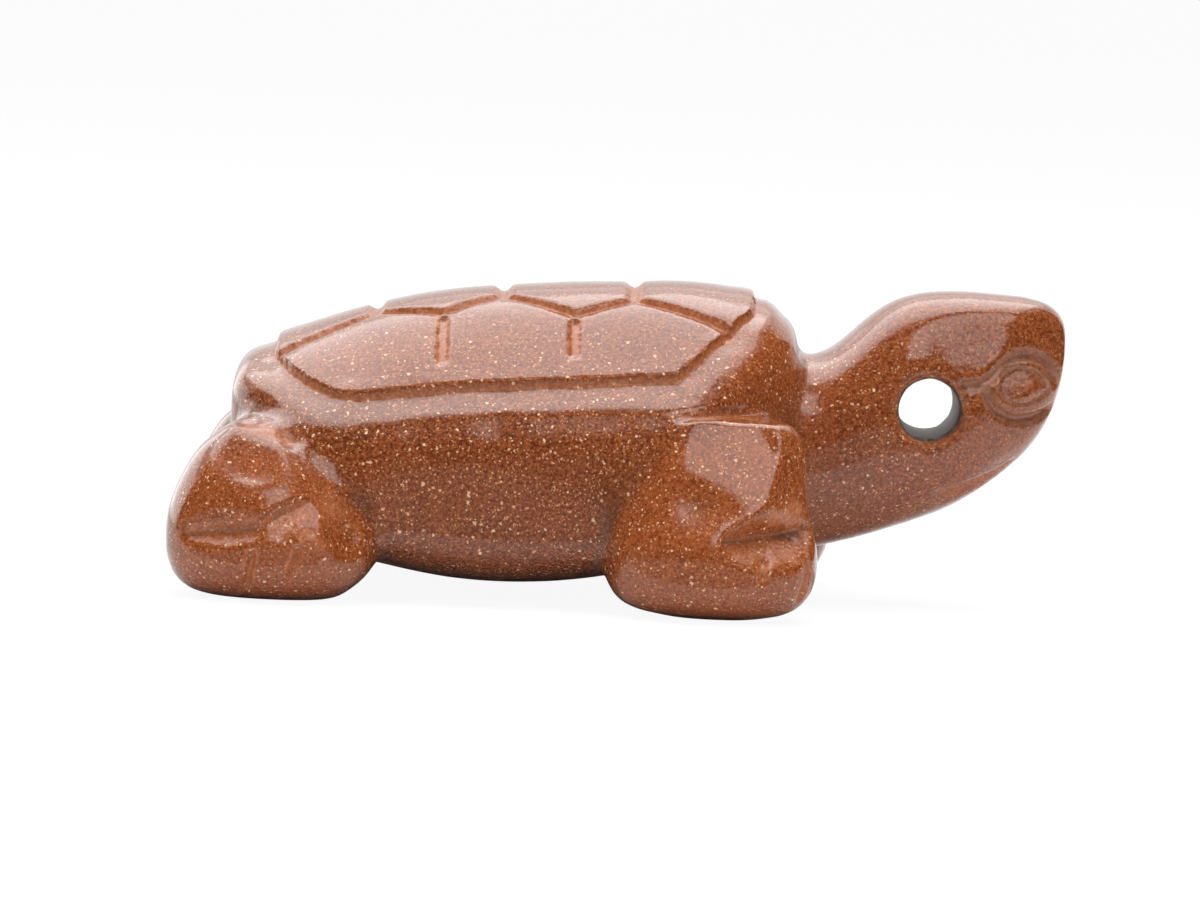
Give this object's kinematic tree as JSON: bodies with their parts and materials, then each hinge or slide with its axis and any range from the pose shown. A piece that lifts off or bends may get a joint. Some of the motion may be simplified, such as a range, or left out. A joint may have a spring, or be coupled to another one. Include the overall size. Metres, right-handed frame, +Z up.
{
  "type": "turtle figurine",
  "caption": "Small standing turtle figurine carved from one block of polished copper-fleck glass, with a grooved shell and a cord hole drilled across its head.",
  "frame": {"origin": "on the surface it stands on, under the middle of its length and width", "axes": "+X forward to the nose, +Y to the turtle's left, +Z up"},
  "size_m": [0.0424, 0.025, 0.0154],
  "materials": {
    "copper_fleck_glass": "polished"
  },
  "bodies": {
    "root": {"carved_turtle": "copper_fleck_glass"}
  },
  "joints": []
}
